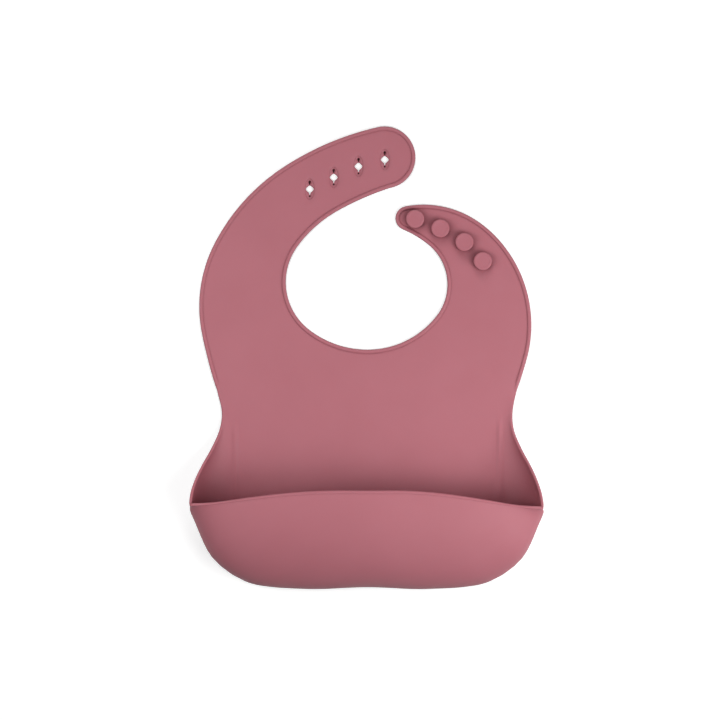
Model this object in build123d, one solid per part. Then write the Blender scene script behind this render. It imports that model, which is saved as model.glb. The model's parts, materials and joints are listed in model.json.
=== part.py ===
"""Silicone baby bib with a catch-all pocket, lying flat on its back.

Millimetres. +X is to the right as the bib is looked at from the front, +Y towards the neck, +Z out of
its front. The bib is drawn about its neck-to-pocket centre line and then moved so that the middle of
its plan is at X = Y = 0. It is one moulding of silicone, divided here at its flex lines and features.
"""
import os
from math import cos, radians, sin, tan
from build123d import *

# Moulding
PANEL = 1.8              # thickness of the flat silicone and of the pocket's wall
RIM_WIDTH = 2.2          # raised bead round the free edges
RIM_RISE = 0.8
BEND_HEIGHT = PANEL / 2  # the flex lines lie at the middle of the panel's thickness

# Plan outline: chains of arcs, each (radius, degrees turned to the left), that follow on smoothly
WAIST_Y = -40.0          # the narrowest place, where the pocket's sides start to rise
LEFT_WAIST_X = -95.2
RIGHT_WAIST_X = 94.2
LEFT_OUTER = [(85.6, 13.3), (331, -6.4), (90, -38.9), (132.4, -29.6), (190.7, -20.0)]
RIGHT_OUTER = [(89, -13.5), (307, 3.6), (83.6, 59.9), (71.2, 13.3), (63.6, 42.8)]
NECK_EDGE_Y = 4.8        # lowest point of the neck opening
LEFT_INNER = [(62.4, -37.4), (39.5, -88.8), (82.6, -24.4), (186.9, -11.5)]
RIGHT_INNER = [(57.3, 52.0), (33.5, 89.4), (69.1, 16.0)]
LEFT_WAIST_HEADING = 94.5
RIGHT_WAIST_HEADING = 84.6

# Flex lines: radial lines of the neck ring, given by their angle from +X about the ring's centre
NECK_CENTRE = Vector(0, 55.7, 0)
HOLE_STRAP_BENDS = [185.0, 159.0, 133.0, 117.3, 102.3, 88.0]
BUTTON_STRAP_BENDS = [-15.0, 11.2, 23.3, 39.5]
TIPS_APART = 65.0        # the radial line that passes between the two strap tips
LEFT_SHOULDER_END = 222.0
RIGHT_SHOULDER_END = -42.0
FOLD_Y = -38.0           # the line across the waist on which the apron folds
BEND_GAP = 0.2           # clearance round the nose of a flex line
RIM_GAP = 1.2            # the bead stops this far short of a flex line
REACH = 240.0            # longer than anything in the plan

# Fastening: button heads on stems, and holes in thin oval membranes
STUDS = [(31.0, 90.0), (47.5, 83.8), (63.2, 75.0), (75.2, 62.5)]
HEAD_RADIUS = 6.0
HEAD_HEIGHT = 2.8
HEAD_TOP_ROUND = 0.9
HEAD_UNDER_ROUND = 0.4
STEM_RADIUS = 2.5
STEM_HEIGHT = 1.4
HOLES = [(-37.8, 109.8), (-22.1, 117.5), (-5.9, 124.7), (11.3, 129.1)]
HOLE_RADIUS = 2.3
SLIT_LENGTH = 12.6
SLIT_WIDTH = 0.9
OVAL_WIDTH = 6.2
OVAL_LENGTH = 13.6
MEMBRANE = 1.2

# Pocket: the foot of its wall on the apron, and ribs of its outer skin on the right half
APRON_HALF_WIDTH = 85.5
APRON_END_Y = -137.0
APRON_CORNER = 36.0
GUSSET_FOOT_Y = -58.0
CORNER_Y = -95.0         # the free edge of the side wall meets the lip here
# each rib is a cubic curve: its foot, two handles and its end on the mouth
GUSSET_RIBS = [
    ((93.6, -41.6, 0), (94.5, -41.8, 0.1), (95.2, -42.1, 0.7), (95.8, -42.4, 1.8)),
    ((85.4, -59, 0), (90, -59, 0), (97.5, -59.5, 3.5), (100.2, -60, 9)),
    ((85.0, -76, 0), (93, -76, 0), (105.5, -76, 8), (108.4, -76, 19)),
    ((85.0, -86, 0), (95, -86, 0), (110, -86, 10), (111.8, -86, 25.5)),
    ((85.0, CORNER_Y, 0), (98, CORNER_Y, 0), (112, CORNER_Y, 12), (112.6, CORNER_Y, 30.5)),
]
WRAP_RIBS = [
    GUSSET_RIBS[-1],
    ((84.9, -99, 0), (105, -101, 0), (118, -103, 20), (107, -94.6, 32)),
    ((84.6, -105, 0), (109, -108, 0), (122, -114, 27), (98, -93.4, 33.6)),
    ((80.5, -118, 0), (105.5, -134.5, 0), (106, -135, 36), (78, -90.2, 37.2)),
    ((66, -132.5, 0), (84, -156, 1), (79, -145, 40), (55, -87.2, 40.5)),
    ((38, -136.6, 0), (43, -163.5, 2), (41, -145, 44), (29, -85, 42.7)),
    ((0, -136.6, 0), (0, -161.5, 3), (0, -144, 46), (0, -84.7, 43.5)),
]
RIB_STEPS = 8
SKIN_TOLERANCE = 0.02
SEAM = 0.2               # between the side wall and the corner
FRONT_HALF_WIDTH = 64.0
CORNER_GAP = 0.6         # between the front and the corners, which it slides past as it flexes
FRONT_BEND_Y = -145.2    # flex line of the front, in the middle of its wall
FRONT_BEND_Z = 14.0
FRONT_CLOSING = 28.0     # the trough's edge falls away at this angle, to let the front fold in
FRONT_GAP = 0.35


def arc_chain(start, heading, arcs):
    """Arcs that follow on smoothly from a start point and a heading in degrees."""
    edges = []
    for radius, turn in arcs:
        direction = (cos(radians(heading)), sin(radians(heading)))
        edges.append(JernArc(start, direction, radius, turn))
        start = edges[-1] @ 1
        heading += turn
    return edges


def tip_arc(outer, inner):
    """The rounded end of a strap, from the end of its outer edge to the end of its inner edge."""
    return TangentArc([outer[-1] @ 1, inner[-1] @ 1], tangent=outer[-1] % 1)


def flat_outline():
    """The flat part in plan, from below the waist to the strap tips."""
    left_outer = arc_chain((LEFT_WAIST_X, WAIST_Y), LEFT_WAIST_HEADING, LEFT_OUTER)
    left_inner = arc_chain((0, NECK_EDGE_Y), 180, LEFT_INNER)
    right_outer = arc_chain((RIGHT_WAIST_X, WAIST_Y), RIGHT_WAIST_HEADING, RIGHT_OUTER)
    right_inner = arc_chain((0, NECK_EDGE_Y), 0, RIGHT_INNER)
    below = 2 * WAIST_Y
    base = Polyline((LEFT_WAIST_X, WAIST_Y), (LEFT_WAIST_X, below), (RIGHT_WAIST_X, below),
                    (RIGHT_WAIST_X, WAIST_Y))
    tips = [tip_arc(left_outer, left_inner), tip_arc(right_outer, right_inner)]
    return make_face([*left_outer, *left_inner, *right_outer, *right_inner, *tips, *base.edges()])


def flat_body():
    """The flat part with its raised bead, uncut."""
    outline = flat_outline()
    inside = offset(outline, -RIM_WIDTH, kind=Kind.INTERSECTION)
    return extrude(outline, PANEL + RIM_RISE) - Pos(0, 0, PANEL) * extrude(inside, PANEL)


def sector(first, last):
    """A tall wedge of the neck ring between two of its radial lines."""
    steps = max(1, round(abs(last - first) / 30))
    angles = [first + (last - first) * i / steps for i in range(steps + 1)]
    points = [NECK_CENTRE + Vector(REACH, 0, 0).rotate(Axis.Z, angle) for angle in angles]
    face = make_face(Polyline(NECK_CENTRE, *points, close=True))
    return Pos(0, 0, -PANEL) * extrude(face, 6 * PANEL)


def along(angle):
    """Placement with X out along a radial line of the neck ring, at the height of the bends."""
    return Pos(NECK_CENTRE) * Rot(0, 0, angle) * Pos(0, 0, BEND_HEIGHT)


def rod(radius):
    """A rod along X from the placement's origin."""
    return Rot(0, 90, 0) * Cylinder(radius, REACH, align=(Align.CENTER, Align.CENTER, Align.MIN))


def nose(body, angle):
    """The rounded end that a strap's piece has on a flex line."""
    return body & (along(angle) * rod(BEND_HEIGHT))


def nose_room(angle):
    """The room round a flex line that the neighbouring piece leaves for the nose."""
    return along(angle) * rod(BEND_HEIGHT + BEND_GAP)


def rim_break(angle):
    """Room in the bead on both sides of a flex line."""
    bead = Box(REACH, 2 * RIM_GAP, PANEL, align=(Align.MIN, Align.CENTER, Align.MIN))
    return along(angle) * Pos(0, 0, BEND_HEIGHT) * bead


def strap_pieces(body, bends, end):
    """A strap's pieces in order from the shoulder: each has a nose at its start and a hollow at its end."""
    pieces = []
    for start, stop in zip(bends, [*bends[1:], end]):
        piece = (body & sector(start, stop)) + nose(body, start) - rim_break(start)
        if stop != end:
            piece = piece - nose_room(stop) - rim_break(stop)
        pieces.append(piece)
    return pieces


def oval(x, y, depth):
    """An upright oval prism under a strap hole."""
    return Pos(x, y, 0) * extrude(Ellipse(OVAL_WIDTH / 2, OVAL_LENGTH / 2), depth)


def eyelet(x, y):
    """The thin oval membrane with its hole and the slits that let it stretch over a head."""
    opening = Circle(HOLE_RADIUS) + Rectangle(SLIT_WIDTH, SLIT_LENGTH)
    return oval(x, y, MEMBRANE) - Pos(x, y, 0) * extrude(opening, MEMBRANE)


def stud(x, y):
    """A mushroom button standing on the strap."""
    seat = (Align.CENTER, Align.CENTER, Align.MIN)
    head = Pos(0, 0, STEM_HEIGHT) * Cylinder(HEAD_RADIUS, HEAD_HEIGHT, align=seat)
    head = fillet(head.edges().sort_by(Axis.Z)[-1], HEAD_TOP_ROUND)
    head = fillet(head.edges().sort_by(Axis.Z)[0], HEAD_UNDER_ROUND)
    stem = Cylinder(STEM_RADIUS, STEM_HEIGHT, align=seat)
    return Pos(x, y, PANEL) * (head + stem)


def apron_outline():
    """The flat floor of the pocket in plan, below the fold."""
    side = APRON_HALF_WIDTH
    corner_y = APRON_END_Y + APRON_CORNER
    right = [
        Line((RIGHT_WAIST_X, FOLD_Y), (RIGHT_WAIST_X, WAIST_Y - 1)),
        Line((RIGHT_WAIST_X, WAIST_Y - 1), (side, GUSSET_FOOT_Y)),
        Line((side, GUSSET_FOOT_Y), (side, corner_y)),
        CenterArc((side - APRON_CORNER, corner_y), APRON_CORNER, 270, 90),
    ]
    left = [mirror(edge, Plane.YZ) for edge in right]
    ends = [
        Line((side - APRON_CORNER, APRON_END_Y), (APRON_CORNER - side, APRON_END_Y)),
        Line((RIGHT_WAIST_X, FOLD_Y), (-RIGHT_WAIST_X, FOLD_Y)),
    ]
    return make_face([*right, *left, *ends])


def rib_point(rib, t):
    """A point on a rib's cubic curve, from its foot (0) to the mouth (1)."""
    weights = [(1 - t) ** 3, 3 * t * (1 - t) ** 2, 3 * t * t * (1 - t), t ** 3]
    return sum((Vector(*point) * weight for point, weight in zip(rib, weights)), Vector())


def neighbours(points, index):
    """The step from the point before to the point after."""
    return points[min(index + 1, len(points) - 1)] - points[max(index - 1, 0)]


def inner_grid(grid):
    """The grid's points moved one wall thickness into the pocket."""
    rows = list(zip(*grid))
    return [[point + neighbours(rows[j], i).cross(neighbours(rib, j)).normalized() * PANEL
             for j, point in enumerate(rib)] for i, rib in enumerate(grid)]


def skin(grid):
    return Face.make_surface_from_array_of_points(grid, tol=SKIN_TOLERANCE, min_deg=3, max_deg=5)


def shell(ribs):
    """A wall whose outer skin passes through the ribs, taken from the right round to the left."""
    grid = [[rib_point(rib, step / RIB_STEPS) for step in range(RIB_STEPS + 1)] for rib in ribs]
    outer = skin(grid)
    inner = skin(inner_grid(grid))
    sides = []
    for edge in outer.edges():
        partner = min(inner.edges(), key=lambda other: (other @ 0.5 - edge @ 0.5).length)
        sides.append(Face.make_surface_from_curves(edge, partner))
    return Solid(Shell([outer, inner, *sides]))


def mirrored(rib):
    return tuple((-x, y, z) for x, y, z in rib)


def wedge_above_bend(drop, gap):
    """Everything above the front's flex line, its underside falling away by drop degrees inwards."""
    inner = FRONT_BEND_Y + REACH
    outer = FRONT_BEND_Y - REACH
    low = FRONT_BEND_Z + gap
    points = [(outer, low), (FRONT_BEND_Y, low), (inner, low - REACH * tan(radians(drop))),
              (inner, REACH), (outer, REACH)]
    return extrude(Plane.YZ * make_face(Polyline(*points, close=True)), REACH, both=True)


def block(x=(-REACH, REACH), y=(-REACH, REACH), z=(-REACH, REACH)):
    """A box between two values on each axis."""
    size = Box(x[1] - x[0], y[1] - y[0], z[1] - z[0])
    return Pos((x[0] + x[1]) / 2, (y[0] + y[1]) / 2, (z[0] + z[1]) / 2) * size


def fold_rod(radius):
    """A rod along the fold across the waist."""
    return Pos(0, FOLD_Y, BEND_HEIGHT) * Rot(0, 90, 0) * Cylinder(radius, 2 * REACH)


def upper_pieces(body):
    """The chest panel and the two shoulders that carry the straps."""
    first_hole = HOLE_STRAP_BENDS[0]
    first_button = BUTTON_STRAP_BENDS[0]
    chest = body & sector(LEFT_SHOULDER_END, RIGHT_SHOULDER_END + 360)
    chest = (chest & block(y=(FOLD_Y, REACH))) + (body & fold_rod(BEND_HEIGHT))
    chest = chest - block(y=(-REACH, FOLD_Y + RIM_GAP), z=(PANEL, REACH))
    left = body & sector(first_hole, LEFT_SHOULDER_END)
    left = left - nose_room(first_hole) - rim_break(first_hole)
    right = body & sector(RIGHT_SHOULDER_END, first_button)
    right = right - nose_room(first_button) - rim_break(first_button)
    return {"chest_panel": chest, "left_shoulder": left, "right_shoulder": right}


def beside(wall, floor):
    """The wall without the strip of it that lies over the apron."""
    return (wall - floor).solids().sort_by(SortBy.VOLUME)[-1]


def pocket_pieces():
    """The apron below the fold and the pocket's wall in its zones."""
    apron = extrude(apron_outline(), PANEL)
    hollow = BEND_HEIGHT + BEND_GAP
    over_fold = block(y=(FOLD_Y - hollow, REACH), z=(BEND_HEIGHT, REACH))
    gusset = shell(GUSSET_RIBS) & block(y=(CORNER_Y + SEAM / 2, REACH))
    wrap = shell([*WRAP_RIBS, *[mirrored(rib) for rib in WRAP_RIBS[-2::-1]]])
    floor = extrude(apron_outline(), 2 * PANEL, both=True)
    gusset = beside(gusset, floor)
    aside = FRONT_HALF_WIDTH + CORNER_GAP
    corner = wrap & block(x=(aside, REACH))
    corner = corner - block(x=(APRON_HALF_WIDTH, REACH), y=(CORNER_Y - SEAM / 2, REACH))
    front = wrap & block(x=(-FRONT_HALF_WIDTH, FRONT_HALF_WIDTH)) & wedge_above_bend(0, FRONT_GAP)
    trough = (wrap & block(x=(-aside, aside))) - wedge_above_bend(FRONT_CLOSING, -FRONT_GAP)
    return {
        "lower_apron": apron - fold_rod(hollow) - over_fold,
        "pocket_trough": beside(trough, floor),
        "pocket_front": front,
        "right_corner": beside(corner, floor),
        "left_corner": mirror(beside(corner, floor), Plane.YZ),
        "right_gusset": gusset,
        "left_gusset": mirror(gusset, Plane.YZ),
    }


def make_parts():
    """Every node by name, about the centre line."""
    body = flat_body()
    parts = {**upper_pieces(body), **pocket_pieces()}
    hole_links = strap_pieces(body, HOLE_STRAP_BENDS, TIPS_APART)
    for number, link in enumerate(hole_links, 1):
        parts[f"hole_strap_{number}"] = link
    first_holed = len(hole_links) - len(HOLES)
    for number, (x, y) in enumerate(HOLES, 1):
        link = f"hole_strap_{first_holed + number}"
        parts[link] = parts[link] - oval(x, y, PANEL)
        parts[f"eyelet_{number}"] = eyelet(x, y)
    for number, link in enumerate(strap_pieces(body, BUTTON_STRAP_BENDS, TIPS_APART), 1):
        parts[f"button_strap_{number}"] = link
    for number, (x, y) in enumerate(STUDS, 1):
        parts[f"stud_{number}"] = stud(x, y)
    return parts


def centred(parts):
    """The parts moved so that the middle of their plan is the origin, and where that middle was."""
    whole = Compound(children=[part.solid() for part in parts.values()]).bounding_box()
    middle = whole.center()
    return {name: Pos(-middle.X, -middle.Y, 0) * part for name, part in parts.items()}, middle


if __name__ == "__main__":
    os.makedirs("parts", exist_ok=True)
    placed, _ = centred(make_parts())
    for name, part in placed.items():
        export_step(part.solid(), f"parts/{name}.step")
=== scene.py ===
import json
from math import asin, atan2, ceil, cos, hypot, pi, radians, sin

import bmesh
import bpy
import numpy as np
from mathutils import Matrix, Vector
from mathutils.geometry import delaunay_2d_cdt


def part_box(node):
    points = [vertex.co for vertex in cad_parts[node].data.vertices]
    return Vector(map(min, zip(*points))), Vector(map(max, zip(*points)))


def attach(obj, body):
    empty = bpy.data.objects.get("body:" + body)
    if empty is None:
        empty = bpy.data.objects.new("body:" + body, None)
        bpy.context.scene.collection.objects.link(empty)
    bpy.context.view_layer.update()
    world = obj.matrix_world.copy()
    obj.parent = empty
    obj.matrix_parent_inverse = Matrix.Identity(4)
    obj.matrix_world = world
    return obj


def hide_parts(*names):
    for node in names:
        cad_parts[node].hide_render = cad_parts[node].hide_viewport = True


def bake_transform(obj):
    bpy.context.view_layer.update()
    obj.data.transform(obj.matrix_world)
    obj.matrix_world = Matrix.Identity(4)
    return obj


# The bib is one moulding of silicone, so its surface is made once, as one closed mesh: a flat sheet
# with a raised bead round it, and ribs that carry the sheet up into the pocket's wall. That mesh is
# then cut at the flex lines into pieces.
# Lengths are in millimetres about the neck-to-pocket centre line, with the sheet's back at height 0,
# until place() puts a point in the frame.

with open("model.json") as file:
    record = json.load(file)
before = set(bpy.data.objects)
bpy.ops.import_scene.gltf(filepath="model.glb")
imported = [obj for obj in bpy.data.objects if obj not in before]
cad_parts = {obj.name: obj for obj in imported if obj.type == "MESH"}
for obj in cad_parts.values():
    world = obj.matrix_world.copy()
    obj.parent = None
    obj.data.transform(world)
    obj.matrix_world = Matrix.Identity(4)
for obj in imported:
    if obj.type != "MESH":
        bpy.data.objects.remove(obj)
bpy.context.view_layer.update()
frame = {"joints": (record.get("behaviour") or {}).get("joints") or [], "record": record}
joints = {joint["name"]: joint for joint in frame["joints"]}
mounts = {mount["name"]: mount for mount in frame["record"]["mounts"]}

MM = 0.001
TINY = 1e-12                         # stands in for a rise of nothing, which can't be divided by
TOUCHING = 1e-6                      # points nearer than this are one
MERGED = 1e-5                        # the same, for the triangulation
WELD_DIGITS = 3                      # the same, in decimal places, where faces are joined
NECK_CENTRE_Y = 55.7                 # centre of the neck ring, which every strap flex line passes
FRAME_SHIFT_Y = joints["hole_strap_curl"]["pos_m"][1] / MM - NECK_CENTRE_Y

# Sheet
WALL = 1.8                           # thickness of the sheet and of the pocket's wall
GRID = 2.7                           # spacing of the mesh inside the sheet
ROW_SHARE = 0.866                    # spacing of its rows, so that the triangles are even
NEAR_SHARE = 0.55                    # it keeps this share of its spacing clear of every outline
STEP = 2.4                           # spacing along the edges
FEWEST_STEPS = 3                     # on any arc of them
CLOSEST = 0.3                        # an outline point nearer than this to the lift line is dropped
WAIST_Y = -40.0
LEFT_WAIST = (-95.2, WAIST_Y)
RIGHT_WAIST = (94.2, WAIST_Y)
LEFT_HEADING = 94.5                  # degrees from the right, in which the left side leaves the waist
RIGHT_HEADING = 84.6
LEFT_OUTER = [(85.6, 13.3), (331, -6.4), (90, -38.9), (132.4, -29.6), (190.7, -20.0)]
RIGHT_OUTER = [(89, -13.5), (307, 3.6), (83.6, 59.9), (71.2, 13.3), (63.6, 42.8)]
NECK_EDGE = (0, 4.8)                 # lowest point of the neck opening
LEFT_INNER = [(62.4, -37.4), (39.5, -88.8), (82.6, -24.4), (186.9, -11.5)]
RIGHT_INNER = [(57.3, 52.0), (33.5, 89.4), (69.1, 16.0)]
LIFT_Y = -25.0                       # the sheet's sides start to rise here
BEAD_FULL_Y = -16.0                  # the bead has its full height above here
TIPS_APART = 65.0                    # the radial line that passes between the two strap tips

# Edge sections, from the top round the edge to the back: (distance in from the edge, height)
SECTION_REACH = 3.4
SECTION_TOP = (SECTION_REACH, 2.9, 2.4)    # where a plain end's flat top and back have points
RIM = [
    (3.4, 1.8), (3.05, 1.79), (2.8, 1.73),
    (2.62, 1.8), (2.45, 2.05), (2.25, 2.36), (1.9, 2.56), (1.4, 2.62), (0.9, 2.6),
    (0.5, 2.46), (0.2, 2.18), (0.04, 1.8), (0.0, 1.0), (0.1, 0.28), (0.45, 0.02),
    (1.5, 0), (2.5, 0), (3.4, 0),
]
NOSE_POINTS = 12
PLAIN_RADIUS = 0.9
LIP_RADIUS = 1.35

# Pocket: ribs of the wall's outer skin on the right half, as cubic curves from foot to mouth
SIDE_RIBS = [
    ((83.6, -36, 0), (88.6, -36, 0), (93.0, -36, 0.2), (95.4, -36, 1.4)),
    ((83.6, -47, 0), (89.6, -47, 0), (94.4, -47.2, 1.0), (96.4, -47.4, 4.6)),
    ((83.6, -59, 0), (90.6, -59, 0), (98.8, -59.4, 2.8), (101.2, -59.8, 10.6)),
    ((83.6, -69, 0), (91.8, -69, 0), (104.2, -69, 5.3), (106.2, -69.4, 17)),
    ((83.6, -78, 0), (93.4, -78, 0), (108.8, -78, 7.8), (110.0, -78, 23.6)),
    ((83.6, -87, 0), (95.4, -87, 0), (112.6, -87, 10), (112.5, -87, 30)),
]
CORNER_RIB = ((83.6, -94.6, 0), (98, -94.6, 0), (114.4, -94.6, 12.5), (112.6, -94.4, 35))
WRAP_RIBS = [
    ((83.6, -99, 0), (105, -101, 0), (122.4, -101.6, 22), (108.5, -94.4, 36.2)),
    ((83.6, -105, 0), (109.5, -108.5, 0), (121.6, -113.5, 28), (98, -92.9, 37.2)),
    ((80.5, -118, 0), (107, -137, 0), (107.5, -137.5, 36), (78, -89.6, 39.3)),
    ((66, -132.5, 0), (86, -159, 1), (81, -148, 40), (55, -86.6, 41.3)),
    ((38, -136.6, 0), (43, -166.5, 2), (41, -148, 44), (29, -84.6, 42.9)),
    ((0, -136.6, 0), (0, -164.2, 3), (0, -147, 46), (0, -84.4, 43.5)),
]
FOOT_X = 83.4                        # where the ribs that lie flat start
FLAT_STEPS = 4                       # edge points from the lift line to the first flat rib
RIDGE_HEIGHT = 0.9                   # the soft ridge beside each side's crease
RIDGE_WIDTH = 6.0
RIDGE_FADES = ((-36, -52), (-98, -88))    # where it grows from nothing, at its two ends
POCKET_SHIFT = 0.8                   # the pocket's wall stands this far to the left of its foot
SHIFT_FADES = (LIFT_Y, -60)          # from nothing to all of it, by the mouth's place
RIGHT_DROP = 2.0                     # the mouth's right corner lies this much further from the neck
DROP_FADES_X = (20, 113)
DROP_FADES_Y = (-60, -90)
SHARES_MOVED = (0, 0, 0.6, 1)        # how much of the shift and the drop each point of a rib takes
RIB_SPACING = 2.4
RIB_SAMPLES = 48                     # even points along a rib
CURVE_SAMPLES = 192                  # points on its curve from which those are taken
BODY_POINTS = 24
LIP_GROWS_FROM = 34.5                # mouth heights between which the lip's bead grows
LIP_FULL = 40.0

# Strap holes, each in a thin oval recess, with a slit below it and a blind pit beyond each end
RECESS = [(3.45, 7.15, 1.8), (3.25, 6.95, 1.66), (3.0, 6.7, 1.3), (2.8, 6.5, 1.2)]
LOOP_POINTS = 36
HOLE_HALF_WIDTH = 2.55
HOLE_HALF_HEIGHT = 2.45
HOLE_SQUARENESS = 1.35
SLIT_HALF_WIDTH = 0.22
SLIT_END = -3.6
HOLE_POINTS = 19
UPPER_PIT = (4.75, 0.8, 2.85, 0.3)   # round end's centre and radius, and the neck's end and half width
LOWER_PIT = (-4.6, 0.55, -4.0, 0.25)
PIT_FLOOR = 0.12
PIT_POINTS = 15
NECK_TURN = 0.35                     # radians between a pit's neck and the start of its round end

NUMBERS = (1, 2, 3, 4)               # holes are numbered from the strap's root, and buttons from its tip

# Buttons: (radius, height above the sheet's top), from the axis under the stem to the top's centre
BUTTON = [
    (0, -0.3), (3.3, -0.3), (3.3, 0.0), (2.85, 0.1), (2.6, 0.35), (2.5, 0.7), (2.5, 1.2), (2.65, 1.38),
    (3.2, 1.42), (4.6, 1.42), (5.5, 1.44), (5.85, 1.55), (6.0, 1.85), (6.0, 3.3), (5.93, 3.65),
    (5.74, 3.94), (5.45, 4.12), (5.1, 4.19), (4.75, 4.2), (4.5, 4.17), (4.25, 4.09), (4.0, 4.04),
    (3.5, 4.02), (2.5, 4.02), (1.2, 4.02), (0, 4.02),
]
BUTTON_SIDES = 64

# Silicone. A noise is (scale, detail), and a ramp (start, value there, end, value there).
SILICONE_IOR = 1.41
SPECULAR = 0.4
SCATTER_WEIGHT = 0.12
SCATTER_RADIUS = (1.0, 0.35, 0.3)
SCATTER_SCALE = 0.0012
MOTTLE_NOISE = (28, 3)
MOTTLE = (0.3, (0.448, 0.150, 0.182, 1), 0.7, (0.464, 0.158, 0.192, 1))
# Painted shade: the colour is darkened where the surface is occluded within this reach, in creases, pits,
# the groove inside the bead and round the buttons' feet.
PAINTED_CREASE_SHADE_REACH = 0.0018
PAINTED_CREASE_SHADE = (0.25, (0.06, 0.03, 0.04, 1), 0.92, (1, 1, 1, 1))
# Painted shade: the colour is darkened and reddened where the surface is occluded within 5 cm, over the
# pocket's inside.
PAINTED_HOLLOW_SHADE_REACH = 0.05
PAINTED_HOLLOW_SHADE = (0.3, (0.6, 0.42, 0.45, 1), 0.95, (1, 1, 1, 1))
SHINE_NOISE = (60, 4)
SHINE = (0.3, (0.52, 0.52, 0.52, 1), 0.7, (0.6, 0.6, 0.6, 1))
GRAIN_NOISE = (1400, 2)
GRAIN_STRENGTH = 0.25
GRAIN_DEPTH = 0.00005

# Surroundings, in metres and watts
FLOOR_HALF = 3.0
FLOOR_LEVEL = -0.0002
FLOOR_COLOR = (0.8, 0.8, 0.8, 1)
FLOOR_ROUGHNESS = 0.9
FLOOR_GLOW = 0.48
WORLD_STRENGTH = 0.02
LIGHTS = [
    # name, position, side, power
    ("key", (0.3, -0.2, 0.45), 0.35, 1.4),
    ("top", (0, 0.87, 0.5), 0.5, 3.2),
    ("right", (0.6, -0.3, 0.25), 0.3, 0.9),
    ("near right", (0.45, -0.1, 0.3), 0.3, 0.9),
    ("overhead", (-0.3, 0, 0.4), 0.3, 1.0),
    ("left", (-0.87, 0, 0.5), 0.5, 1.2),
]
CAMERA_HEIGHT = 1.2
CAMERA_PLACE = (-0.0049, -0.0020)    # from the centre line's origin
WIDTH_SEEN = 0.4716


def place(points):
    """Points about the centre line, in the frame's metres."""
    return (np.asarray(points, float) + (0, FRAME_SHIFT_Y, 0)) * MM


def fade(value, start, end):
    """0 at start, 1 at end, smoothly."""
    share = min(1.0, max(0.0, (value - start) / (end - start)))
    return share * share * (3 - 2 * share)


# ---------------------------------------------------------------- outline

def walk(start, heading, arcs):
    """Points along arcs (radius, degrees turned left) that follow on smoothly, and the last heading."""
    x, y = start
    heading = radians(heading)
    points = [(x, y)]
    for radius, turn in arcs:
        count = max(FEWEST_STEPS, ceil(radius * radians(abs(turn)) / STEP))
        bend = radians(turn) / count
        chord = 2 * radius * sin(abs(bend) / 2)
        for _ in range(count):
            x += chord * cos(heading + bend / 2)
            y += chord * sin(heading + bend / 2)
            heading += bend
            points.append((x, y))
    return points, heading


def tip(start, heading, end):
    """Points between the ends of a strap's two edges, on the arc that leaves start along heading."""
    away = hypot(end[0] - start[0], end[1] - start[1])
    swing = atan2(end[1] - start[1], end[0] - start[0]) - heading
    swing = (swing + pi) % (2 * pi) - pi
    radius = away / (2 * sin(abs(swing)))
    points, _ = walk(start, heading * 180 / pi, [(radius, 2 * swing * 180 / pi)])
    return points[1:-1]


def above(points, limit):
    """The part of a rising chain above a height, with a point put in on it."""
    kept = [point for point in points if point[1] > limit + CLOSEST]
    last = max((point for point in points if point[1] <= limit), key=lambda point: point[1])
    share = (limit - last[1]) / (kept[0][1] - last[1])
    return [(last[0] + share * (kept[0][0] - last[0]), limit), *kept]


def free_edge():
    """The sheet's free edge from the right side over both straps and the neck to the left side."""
    right_outer, right_heading = walk(RIGHT_WAIST, RIGHT_HEADING, RIGHT_OUTER)
    right_inner, _ = walk(NECK_EDGE, 0, RIGHT_INNER)
    left_outer, left_heading = walk(LEFT_WAIST, LEFT_HEADING, LEFT_OUTER)
    left_inner, _ = walk(NECK_EDGE, 180, LEFT_INNER)
    right_tip = tip(right_outer[-1], right_heading, right_inner[-1])
    left_tip = tip(left_outer[-1], left_heading, left_inner[-1])
    right = [*above(right_outer, LIFT_Y), *right_tip, *right_inner[::-1]]
    left = [*above(left_outer, LIFT_Y), *left_tip, *left_inner[::-1]]
    return np.array([*right, *left[-2::-1]])


def inward(edge):
    """Unit vectors into the sheet at each point of its edge."""
    along = np.gradient(edge, axis=0)
    along[0] = (0, 1)
    along[-1] = (0, -1)
    along /= np.linalg.norm(along, axis=1)[:, None]
    return np.column_stack([-along[:, 1], along[:, 0]])


# ---------------------------------------------------------------- edge sections

def nose(radius):
    """A wall's end rounded to a radius, which may be more than half the wall."""
    start = pi - asin(min(1.0, WALL / 2 / radius)) if radius > WALL / 2 else pi / 2
    turns = np.linspace(start, -start, NOSE_POINTS)
    top = [(reach, WALL) for reach in SECTION_TOP]
    end = [(radius - radius * cos(turn), WALL / 2 + radius * sin(turn)) for turn in turns]
    return [*top, *end, *[(reach, 0) for reach, _ in top[::-1]]]


def mixed(first, second, share):
    return np.array(first) * (1 - share) + np.array(second) * share


def edge_rings(edge):
    """The bead's section at each point of the free edge."""
    into = inward(edge)
    plain = nose(PLAIN_RADIUS)
    rings = []
    for point, way in zip(edge, into):
        section = mixed(plain, RIM, fade(point[1], LIFT_Y, BEAD_FULL_Y))
        rings.append([(*(point + way * reach), height) for reach, height in section])
    return np.array(rings)


# ---------------------------------------------------------------- pocket

def sided(rib, side):
    """A rib on the right (1) or left (-1) side, shifted a little at its mouth."""
    mouth_x, mouth_y = side * rib[3][0], rib[3][1]
    shift = POCKET_SHIFT * fade(mouth_y, *SHIFT_FADES)
    drop = RIGHT_DROP * fade(mouth_x, *DROP_FADES_X) * fade(mouth_y, *DROP_FADES_Y)
    return [(side * x - shift * share, y - drop * share, z)
            for (x, y, z), share in zip(rib, SHARES_MOVED)]


def flat_rib(edge_point):
    """A rib that lies flat, from the foot's line to the edge."""
    x, y = edge_point
    foot = FOOT_X if x > 0 else -FOOT_X
    return [(foot + (x - foot) * share, y, 0) for share in (0, 1 / 3, 2 / 3, 1)]


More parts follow.
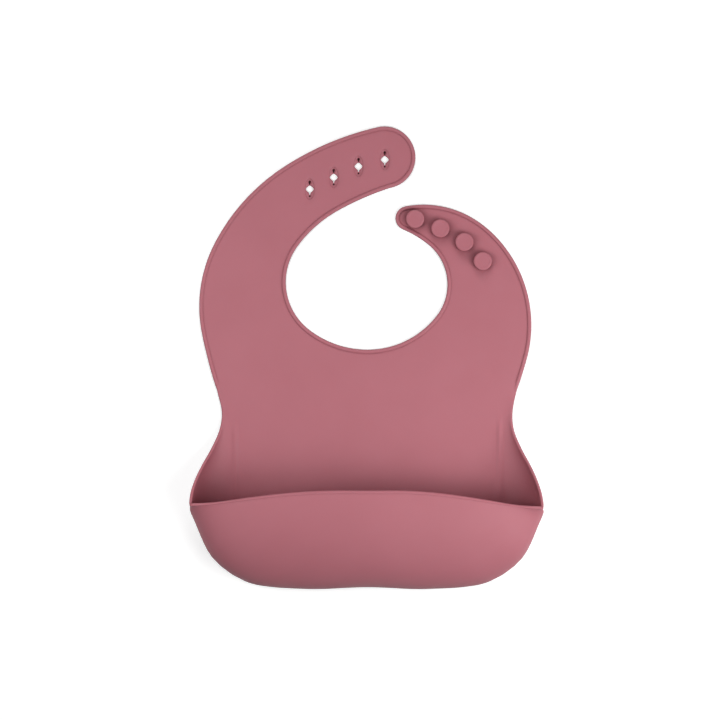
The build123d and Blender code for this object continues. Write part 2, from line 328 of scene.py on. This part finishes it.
def key_ribs(edge):
    """The ribs that shape the wall, from the right side round the front to the left side."""
    right = [flat_rib(edge[FLAT_STEPS]), flat_rib(edge[0])]
    left = [flat_rib(edge[-1]), flat_rib(edge[-1 - FLAT_STEPS])]
    right += [sided(rib, 1) for rib in SIDE_RIBS]
    left = [sided(rib, -1) for rib in SIDE_RIBS[::-1]] + left
    wrap = [CORNER_RIB, *WRAP_RIBS]
    wrap = [sided(rib, 1) for rib in wrap] + [sided(rib, -1) for rib in wrap[-2::-1]]
    return np.array([*right, *wrap, *left], float)


def between(keys, index, share):
    """A rib between two keys, on the centripetal curve through them and their neighbours."""
    four = keys[index - 1:index + 3]
    apart = [np.linalg.norm(b - a) ** 0.5 for a, b in zip(four, four[1:])]
    knots = np.concatenate([[0], np.cumsum(apart)])
    at = knots[1] + share * (knots[2] - knots[1])
    level = list(four)
    for depth in (1, 2):
        level = [
            (level[i] * (knots[i + depth] - at) + level[i + 1] * (at - knots[i]))
            / (knots[i + depth] - knots[i])
            for i in range(len(level) - 1)
        ]
    return (level[0] * (knots[2] - at) + level[1] * (at - knots[1])) / (knots[2] - knots[1])


def all_ribs(keys):
    ribs = []
    for index in range(1, len(keys) - 2):
        longest = np.linalg.norm(keys[index + 1] - keys[index], axis=1).max()
        count = ceil(longest / RIB_SPACING)
        ribs += [between(keys, index, step / count) for step in range(count)]
    return np.array([*ribs, keys[-2]])


def rib_lines(ribs):
    """Even points along each rib, the wall's inward direction at each, and the ribs' lengths."""
    t = np.linspace(0, 1, CURVE_SAMPLES)[:, None]
    weights = np.hstack([(1 - t) ** 3, 3 * t * (1 - t) ** 2, 3 * t * t * (1 - t), t ** 3])
    even = np.linspace(0, 1, RIB_SAMPLES)
    lines, lengths = [], []
    for rib in ribs:
        points = weights @ rib
        run = np.concatenate([[0], np.cumsum(np.linalg.norm(np.diff(points, axis=0), axis=1))])
        lines.append(np.column_stack([np.interp(even * run[-1], run, axis) for axis in points.T]))
        lengths.append(run[-1])
    lines = np.array(lines)
    facing = np.cross(np.gradient(lines, axis=0), np.gradient(lines, axis=1))
    facing /= np.linalg.norm(facing, axis=2)[:, :, None]
    facing[0] = facing[-1] = facing[:, 0] = (0, 0, 1)
    return lines, facing, lengths


def wall_rings(ribs):
    """The wall's section along each rib, from its foot inside over the lip to its foot outside."""
    lines, facing, lengths = rib_lines(ribs)
    even = np.linspace(0, 1, RIB_SAMPLES)
    plain, lip = nose(PLAIN_RADIUS), nose(LIP_RADIUS)
    rings = []
    for line, face, length in zip(lines, facing, lengths):
        section = mixed(plain, lip, fade(line[-1][2], LIP_GROWS_FROM, LIP_FULL))
        body = np.linspace(0, length - SECTION_REACH, BODY_POINTS)
        ridge = RIDGE_HEIGHT
        for start, end in RIDGE_FADES:
            ridge *= fade(line[0][1], start, end)
        inner = [(run, WALL + ridge * sin(pi * min(run / RIDGE_WIDTH, 1)) ** 2) for run in body[:-1]]
        mouth = [(length - reach, height) for reach, height in section]
        outer = [(run, 0) for run in body[-2::-1]]
        runs, heights = np.array([*inner, *mouth, *outer]).T
        share = np.clip(runs / length, 0, 1)
        points = np.column_stack([np.interp(share, even, axis) for axis in line.T])
        normals = np.column_stack([np.interp(share, even, axis) for axis in face.T])
        normals /= np.linalg.norm(normals, axis=1)[:, None]
        rings.append(points + normals * heights[:, None])
    return np.array(rings)


# ---------------------------------------------------------------- flat field

def loop(points):
    """Edges that join points of a list into a ring."""
    return [(i, (i + 1) % len(points)) for i in range(len(points))]


def inside(points, polygon):
    """Which points lie inside a polygon."""
    x, y = points[:, 0][:, None], points[:, 1][:, None]
    start, end = polygon, np.roll(polygon, -1, axis=0)
    crosses = (start[:, 1] > y) != (end[:, 1] > y)
    rise = np.where(end[:, 1] == start[:, 1], TINY, end[:, 1] - start[:, 1])
    at = start[:, 0] + (y - start[:, 1]) / rise * (end[:, 0] - start[:, 0])
    return (crosses & (x < at)).sum(axis=1) % 2 == 1


def oval(centre, half_width, half_height):
    turns = np.arange(LOOP_POINTS) * 2 * pi / LOOP_POINTS
    return centre + np.column_stack([half_width * np.cos(turns), half_height * np.sin(turns)])


def opening(centre):
    """The outline of a hole, nearly a diamond, with the slit below it."""
    turns = np.linspace(-pi / 2, pi / 2, HOLE_POINTS)
    power = 2 / HOLE_SQUARENESS
    right = [(HOLE_HALF_WIDTH * cos(turn) ** power,
              HOLE_HALF_HEIGHT * (1 if turn > 0 else -1) * abs(sin(turn)) ** power) for turn in turns]
    right = [point for point in right if point[0] > SLIT_HALF_WIDTH or point[1] > 0]
    right = [(SLIT_HALF_WIDTH, SLIT_END), *right]
    left = [(-x, y) for x, y in right[::-1] if x > TOUCHING]
    return np.array([*right, *left]) + centre


def pit(centre, middle, radius, neck_end, neck_half_width):
    """The outline of a blind pit: a round end with a neck towards the hole."""
    toward = 1 if neck_end > middle else -1
    start = asin(neck_half_width / radius) + NECK_TURN
    turns = np.linspace(start, 2 * pi - start, PIT_POINTS)
    rounded = [(radius * sin(turn), middle + toward * radius * cos(turn)) for turn in turns]
    return np.array([(neck_half_width, neck_end), *rounded, (-neck_half_width, neck_end)]) + centre


def field(boundary, holes):
    """Triangles over the flat sheet, as (x, y, height of the top), and outlines of cuts and pits."""
    openings = [opening(hole) for hole in holes]
    pits = [pit(hole, *shape) for hole in holes for shape in (UPPER_PIT, LOWER_PIT)]
    membrane = RECESS[-1][2]
    loops = [(boundary, WALL)]
    loops += [(oval(hole, width, height), top) for hole in holes for width, height, top in RECESS]
    loops += [(ring, membrane) for ring in (*openings, *pits)]
    low, high = boundary.min(axis=0), boundary.max(axis=0)
    rows = np.arange(low[1], high[1], GRID * ROW_SHARE)
    grid = np.array([(x + (i % 2) * GRID / 2, y) for i, y in enumerate(rows)
                     for x in np.arange(low[0], high[0], GRID)])
    grid = grid[inside(grid, boundary)]
    fixed = np.vstack([points for points, _ in loops])
    near = np.array([np.min(np.hypot(*(fixed - point).T)) for point in grid])
    grid = grid[near > NEAR_SHARE * GRID]
    for hole in holes:
        grid = grid[~inside(grid, oval(hole, *RECESS[0][:2]))]
    points, edges, tops = [], [], []
    for ring, top in loops:
        edges += [(a + len(points), b + len(points)) for a, b in loop(ring)]
        points += [tuple(point) for point in ring]
        tops += [top] * len(ring)
    points += [tuple(point) for point in grid]
    tops += [WALL] * len(grid)
    flat = [Vector(point) for point in points]
    _, _, faces, origins, _, _ = delaunay_2d_cdt(flat, edges, [], 0, MERGED)
    source = [origin[0] for origin in origins]
    corners = np.array([(*points[i], tops[i]) for i in source])
    triangles = corners[np.array([list(face) for face in faces])]
    middles = triangles[:, :, :2].mean(axis=1)
    for ring in pits:
        triangles[inside(middles, ring), :, 2] = PIT_FLOOR
    kept = inside(middles, boundary)
    for cut in openings:
        kept &= ~inside(middles, cut)
    return triangles[kept], openings, pits


# ---------------------------------------------------------------- whole moulding

def strips(rings):
    """Four-sided faces between each ring and the next."""
    return [(a[j], a[j + 1], b[j + 1], b[j])
            for a, b in zip(rings, rings[1:]) for j in range(len(a) - 1)]


def weld(polygons):
    """A closed mesh from polygons given by their corners, about the centre line."""
    index, corners, faces = {}, [], []
    for polygon in polygons:
        face = []
        for point in polygon:
            key = tuple(round(float(value), WELD_DIGITS) + 0.0 for value in point)
            if key not in index:
                index[key] = len(corners)
                corners.append(point)
            if index[key] not in face:
                face.append(index[key])
        if len(face) > 2:
            faces.append(face)
    mesh = bmesh.new()
    verts = [mesh.verts.new(point) for point in place(corners)]
    for face in faces:
        mesh.faces.new([verts[i] for i in face])
    bmesh.ops.recalc_face_normals(mesh, faces=mesh.faces[:])
    return mesh


def moulding():
    """The whole bib without its buttons, uncut."""
    edge = free_edge()
    beads = edge_rings(edge)
    walls = wall_rings(all_ribs(key_ribs(edge)))
    feet = walls[:, 0, :2]
    right_flat = walls[0, 1:BODY_POINTS - 1, :2][::-1]
    left_flat = walls[-1, 1:BODY_POINTS - 1, :2]
    boundary = np.vstack([beads[:, 0, :2], left_flat[::-1], feet[::-1], right_flat[::-1]])
    holes = [np.array(mounts[f"strap_hole_{i}"]["pos_m"][:2]) / MM - (0, FRAME_SHIFT_Y) for i in NUMBERS]
    triangles, openings, pits = field(boundary, holes)
    faces = [*strips(beads), *strips(walls), *triangles]
    faces += [[(x, y, 0) for x, y, _ in triangle] for triangle in triangles]
    for cut, floor_height in [*((cut, 0) for cut in openings), *((ring, PIT_FLOOR) for ring in pits)]:
        low = np.column_stack([cut, np.full(len(cut), floor_height)])
        high = np.column_stack([cut, np.full(len(cut), RECESS[-1][2])])
        faces += [(low[a], low[b], high[b], high[a]) for a, b in loop(cut)]
    return weld(faces)


# ---------------------------------------------------------------- pieces

def onward(joint):
    """The direction in the sheet in which a joint's moving side lies."""
    return Vector((0, 0, 1)).cross(Vector(joint["axis"]))


def cut_piece(whole, name, cuts):
    """The part of the moulding on the kept side of each cut (point, direction in), its ends closed."""
    piece = whole.copy()
    for point, way in cuts:
        everything = [*piece.verts, *piece.edges, *piece.faces]
        bmesh.ops.bisect_plane(
            piece, geom=everything, dist=TOUCHING, plane_co=point, plane_no=way, clear_inner=True)
    rims = [edge for edge in piece.edges if edge.is_boundary]
    caps = bmesh.ops.holes_fill(piece, edges=rims, sides=0)["faces"]
    for face in caps:
        face.normal_update()
        for edge in face.edges:
            edge.smooth = False
    bmesh.ops.recalc_face_normals(piece, faces=piece.faces[:])
    for face in piece.faces:
        face.smooth = True
    for face in caps:
        face.smooth = False
    mesh = bpy.data.meshes.new(name)
    piece.to_mesh(mesh)
    piece.free()
    return added(mesh, name)


def added(mesh, name):
    obj = bpy.data.objects.new(name, mesh)
    bpy.context.scene.collection.objects.link(obj)
    mesh.materials.append(silicone)
    return obj


def flex(piece):
    """Bakes the piece's placement into its mesh."""
    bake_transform(piece)


def strap(whole, name, replaced):
    """A strap's pieces, each from its flex line to the next."""
    chain = [joint for joint in frame["joints"] if joint["name"].startswith(f"{name}_curl")]
    centre = Vector(chain[0]["pos_m"])
    apart = Vector((cos(radians(TIPS_APART)), sin(radians(TIPS_APART)), 0))
    reach = sum(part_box(chain[0]["child"]), Vector()) / 2 - centre
    turn = 1 if reach.dot(Vector(chain[0]["axis"])) > 0 else -1
    last = Vector((0, 0, 1)).cross(apart) * turn
    ways = [onward(joint) for joint in chain] + [last]
    for joint, way, next_way in zip(chain, ways, ways[1:]):
        piece = cut_piece(whole, f"{joint['child']}_skin", [(centre, way), (centre, -next_way)])
        flex(piece)
        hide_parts(joint["child"], *replaced.get(joint["child"], []))


def button(name, body):
    """A mushroom button on its stem, at its mount."""
    x, y, _ = mounts[name]["pos_m"]
    rings = []
    for side in range(BUTTON_SIDES + 1):
        turn = side % BUTTON_SIDES * 2 * pi / BUTTON_SIDES
        rings.append([(radius * cos(turn), radius * sin(turn), WALL + height)
                      for radius, height in BUTTON])
    mesh = weld([[np.array(point) + (x / MM, y / MM - FRAME_SHIFT_Y, 0) for point in face]
                 for face in strips(rings)])
    for face in mesh.faces:
        face.smooth = True
    data = bpy.data.meshes.new(f"{name}_button")
    mesh.to_mesh(data)
    mesh.free()
    piece = added(data, f"{name}_button")
    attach(piece, body)
    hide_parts(name)


# ---------------------------------------------------------------- material

def silicone_material():
    """Matte dusty-rose silicone: a faint mottle, a fine moulded grain, and painted shade in creases and
    hollows.
    """
    material = bpy.data.materials.new("silicone")
    material.use_nodes = True
    nodes, links = material.node_tree.nodes, material.node_tree.links
    shader = nodes["Principled BSDF"]
    shader.inputs["IOR"].default_value = SILICONE_IOR
    shader.inputs["Subsurface Weight"].default_value = SCATTER_WEIGHT
    shader.inputs["Subsurface Radius"].default_value = SCATTER_RADIUS
    shader.inputs["Subsurface Scale"].default_value = SCATTER_SCALE
    shader.inputs["Specular IOR Level"].default_value = SPECULAR
    coordinates = nodes.new("ShaderNodeTexCoord")

    def noise(scale, detail):
        node = nodes.new("ShaderNodeTexNoise")
        node.inputs["Scale"].default_value = scale
        node.inputs["Detail"].default_value = detail
        links.new(coordinates.outputs["Object"], node.inputs["Vector"])
        return node.outputs["Fac"]

    def occlusion(distance):
        node = nodes.new("ShaderNodeAmbientOcclusion")
        node.inputs["Distance"].default_value = distance
        return node.outputs["AO"]

    def ramp(source, low_at, low, high_at, high):
        node = nodes.new("ShaderNodeValToRGB")
        for element, position, color in zip(node.color_ramp.elements, (low_at, high_at), (low, high)):
            element.position = position
            element.color = color
        links.new(source, node.inputs["Fac"])
        return node.outputs["Color"]

    def multiplied(first, second):
        node = nodes.new("ShaderNodeMix")
        node.data_type = "RGBA"
        node.blend_type = "MULTIPLY"
        node.inputs["Factor"].default_value = 1.0
        links.new(first, node.inputs["A"])
        links.new(second, node.inputs["B"])
        return node.outputs["Result"]

    mottle = ramp(noise(*MOTTLE_NOISE), *MOTTLE)
    # painted shade in creases, from occlusion
    painted_crease_shade = ramp(occlusion(PAINTED_CREASE_SHADE_REACH), *PAINTED_CREASE_SHADE)
    # painted shade over the pocket's hollow, from occlusion
    painted_hollow_shade = ramp(occlusion(PAINTED_HOLLOW_SHADE_REACH), *PAINTED_HOLLOW_SHADE)
    links.new(multiplied(multiplied(mottle, painted_hollow_shade), painted_crease_shade), shader.inputs["Base Color"])
    links.new(ramp(noise(*SHINE_NOISE), *SHINE), shader.inputs["Roughness"])
    grain = nodes.new("ShaderNodeBump")
    grain.inputs["Strength"].default_value = GRAIN_STRENGTH
    grain.inputs["Distance"].default_value = GRAIN_DEPTH
    links.new(noise(*GRAIN_NOISE), grain.inputs["Height"])
    links.new(grain.outputs["Normal"], shader.inputs["Normal"])
    return material


# ---------------------------------------------------------------- build

silicone = silicone_material()
whole = moulding()

fold = joints["apron_fold"]
fold_line = Vector(fold["pos_m"])
pocket = cut_piece(whole, "catch_pocket", [(fold_line, -onward(fold))])
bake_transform(pocket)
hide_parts("lower_apron", "pocket_trough", "pocket_front", "left_corner", "right_corner",
            "left_gusset", "right_gusset")

neck = Vector(joints["hole_strap_curl"]["pos_m"])
first_lines = [(neck, -onward(joints[f"{name}_curl"])) for name in ("hole_strap", "button_strap")]
chest = cut_piece(whole, "chest_skin", [(fold_line, onward(fold)), *first_lines])
flex(chest)
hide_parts("chest_panel", "left_shoulder", "right_shoulder")

eyelets = {f"hole_strap_{i + 2}": [f"eyelet_{i}"] for i in NUMBERS}
strap(whole, "hole_strap", eyelets)
strap(whole, "button_strap", {})
for i in NUMBERS:
    button(f"stud_{i}", f"button_strap_{5 - i}")
whole.free()

# ---------------------------------------------------------------- floor, light and camera

def floor_material():
    material = bpy.data.materials.new("paper")
    material.use_nodes = True
    shader = material.node_tree.nodes["Principled BSDF"]
    shader.inputs["Base Color"].default_value = FLOOR_COLOR
    shader.inputs["Roughness"].default_value = FLOOR_ROUGHNESS
    shader.inputs["Specular IOR Level"].default_value = 0.0
    shader.inputs["Emission Color"].default_value = (1, 1, 1, 1)
    shader.inputs["Emission Strength"].default_value = FLOOR_GLOW
    return material


def floor():
    """A pale floor that throws no light back on the bib."""
    data = bpy.data.meshes.new("floor")
    corners = [(-1, -1), (1, -1), (1, 1), (-1, 1)]
    data.from_pydata([(x * FLOOR_HALF, y * FLOOR_HALF, FLOOR_LEVEL) for x, y in corners],
                     [], [(0, 1, 2, 3)])
    data.materials.append(floor_material())
    obj = bpy.data.objects.new("floor", data)
    obj.visible_diffuse = False
    bpy.context.scene.collection.objects.link(obj)


def soft_light(name, position, side, power):
    """A square soft light that faces the frame's origin."""
    data = bpy.data.lights.new(name, "AREA")
    data.shape = "SQUARE"
    data.size = side
    data.energy = power
    obj = bpy.data.objects.new(name, data)
    obj.location = position
    obj.rotation_mode = "QUATERNION"
    obj.rotation_quaternion = (-Vector(position)).to_track_quat("-Z", "Y")
    bpy.context.scene.collection.objects.link(obj)


def studio():
    world = bpy.data.worlds.new("studio")
    world.use_nodes = True
    background = world.node_tree.nodes["Background"]
    background.inputs["Color"].default_value = (1, 1, 1, 1)
    background.inputs["Strength"].default_value = WORLD_STRENGTH
    bpy.context.scene.world = world
    for light in LIGHTS:
        soft_light(*light)
    bpy.context.scene.view_settings.view_transform = "Standard"


def camera():
    """Straight down on the bib, from far enough that the pocket leans out only a little."""
    data = bpy.data.cameras.new("camera")
    data.lens = data.sensor_width * CAMERA_HEIGHT / WIDTH_SEEN
    obj = bpy.data.objects.new("camera", data)
    x, y = CAMERA_PLACE
    obj.location = (x, y + FRAME_SHIFT_Y * MM, CAMERA_HEIGHT)
    bpy.context.scene.collection.objects.link(obj)
    bpy.context.scene.camera = obj


floor()
studio()
camera()
